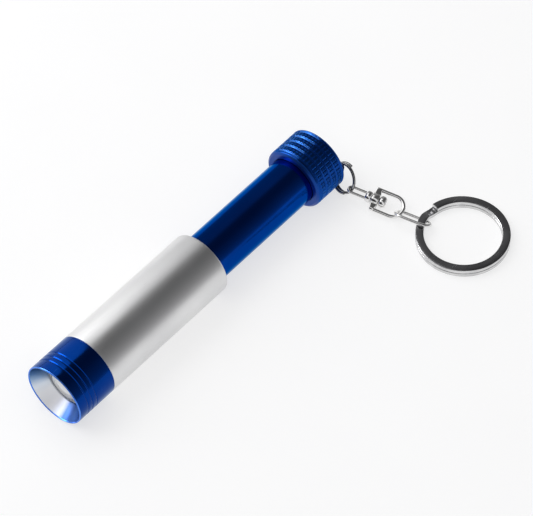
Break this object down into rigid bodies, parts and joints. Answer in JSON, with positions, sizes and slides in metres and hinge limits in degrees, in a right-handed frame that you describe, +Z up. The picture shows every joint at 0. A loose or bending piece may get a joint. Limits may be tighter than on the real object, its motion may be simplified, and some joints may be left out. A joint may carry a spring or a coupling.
{
  "type": "keychain flashlight",
  "caption": "Pull-out zoom pocket torch with a silver sliding sleeve, blue tube, knurled twist tail cap, swivel chain and flat split key ring.",
  "frame": {"origin": "centre of the whole object's footprint, on the table", "axes": "+X along the torch from lens to tail cap, +Z up, chain and key ring towards -Y"},
  "size_m": [0.1234, 0.0632, 0.018],
  "materials": {
    "anodised_blue": "glossy blue anodised",
    "anodised_blue_dark": "blue anodised, knurled",
    "anodised_silver": "satin silver anodised",
    "lens_clear": "clear polished acrylic",
    "seal_rubber": "soft black rubber",
    "seal_clear": "soft translucent silicone",
    "nylon_black": "turned black nylon",
    "brass_turned": "turned brass",
    "board_white": "white solder mask on an aluminium board",
    "board_green": "green solder mask",
    "led_phosphor": "yellow phosphor under clear silicone",
    "cell_jacket": "printed shrink jacket, plain",
    "spring_steel": "plated spring wire",
    "nickel_dark": "polished nickel with dark reflections",
    "nickel_bright": "bright nickel plate"
  },
  "bodies": {
    "tube": {"body_tube": "anodised_blue", "stop_o_ring": "seal_rubber", "led_pill": "brass_turned", "led_board": "board_white", "led_emitter": "led_phosphor", "driver_board": "board_green", "front_contact": "brass_turned", "insulator_ring": "nylon_black", "aaa_cell": "cell_jacket", "tail_o_ring": "seal_rubber"},
    "head": {"bezel": "anodised_blue", "sleeve": "anodised_silver", "lens": "lens_clear", "lens_gasket": "seal_clear", "lens_retainer": "nylon_black", "guide_bush": "nylon_black"},
    "contact_carrier": {"contact_plate": "brass_turned", "tail_spring": "spring_steel"},
    "cap": {"tail_cap": "anodised_blue_dark"},
    "lug_ring": {"lug_ring": "nickel_dark"},
    "swivel_eye": {"swivel_eye": "nickel_bright"},
    "swivel_bow": {"swivel_bow": "nickel_bright"},
    "chain_link": {"chain_link": "nickel_bright"},
    "key_ring": {"key_ring": "nickel_dark"}
  },
  "joints": [
    {"name": "head_slide", "type": "slide", "parent": "tube", "child": "head", "axis": [1, 0, 0], "range_m": [0, 0.0355]},
    {"name": "cap_travel", "type": "slide", "parent": "tube", "child": "contact_carrier", "axis": [1, 0, 0], "range_m": [0, 0.00451]},
    {"name": "cap_twist", "type": "hinge", "parent": "contact_carrier", "child": "cap", "pos_m": [0.0343, 0.02262, 0.009], "axis": [1, 0, 0], "range_deg": [0, 2160]},
    {"name": "lug_swing", "type": "hinge", "parent": "cap", "child": "lug_ring", "pos_m": [0.04274, 0.01909, 0.00455], "axis": [0.3692, -0.094, 0.9246], "range_deg": [0, 60]},
    {"name": "eye_swing", "type": "hinge", "parent": "lug_ring", "child": "swivel_eye", "pos_m": [0.04051, 0.01155, 0.00382], "axis": [-0.3124, 0.2861, -0.9058], "range_deg": [-25, 25]},
    {"name": "bow_spin", "type": "hinge", "parent": "swivel_eye", "child": "swivel_bow", "pos_m": [0.04264, 0.00522, 0.0029], "axis": [0.3161, -0.9393, -0.1333], "continuous": true},
    {"name": "link_swing", "type": "hinge", "parent": "swivel_bow", "child": "chain_link", "pos_m": [0.04512, -0.00216, 0.00185], "axis": [0.9243, 0.2732, 0.2665], "range_deg": [-10, 30]},
    {"name": "ring_swing", "type": "hinge", "parent": "chain_link", "child": "key_ring", "pos_m": [0.04512, -0.00848, 0.00185], "axis": [0.5999, 0.1447, 0.7869], "range_deg": [-35, 35]}
  ],
  "couplings": [
    {"joint": "cap_travel", "follows": "cap_twist", "m_per_rad": 0.00011937}
  ]
}
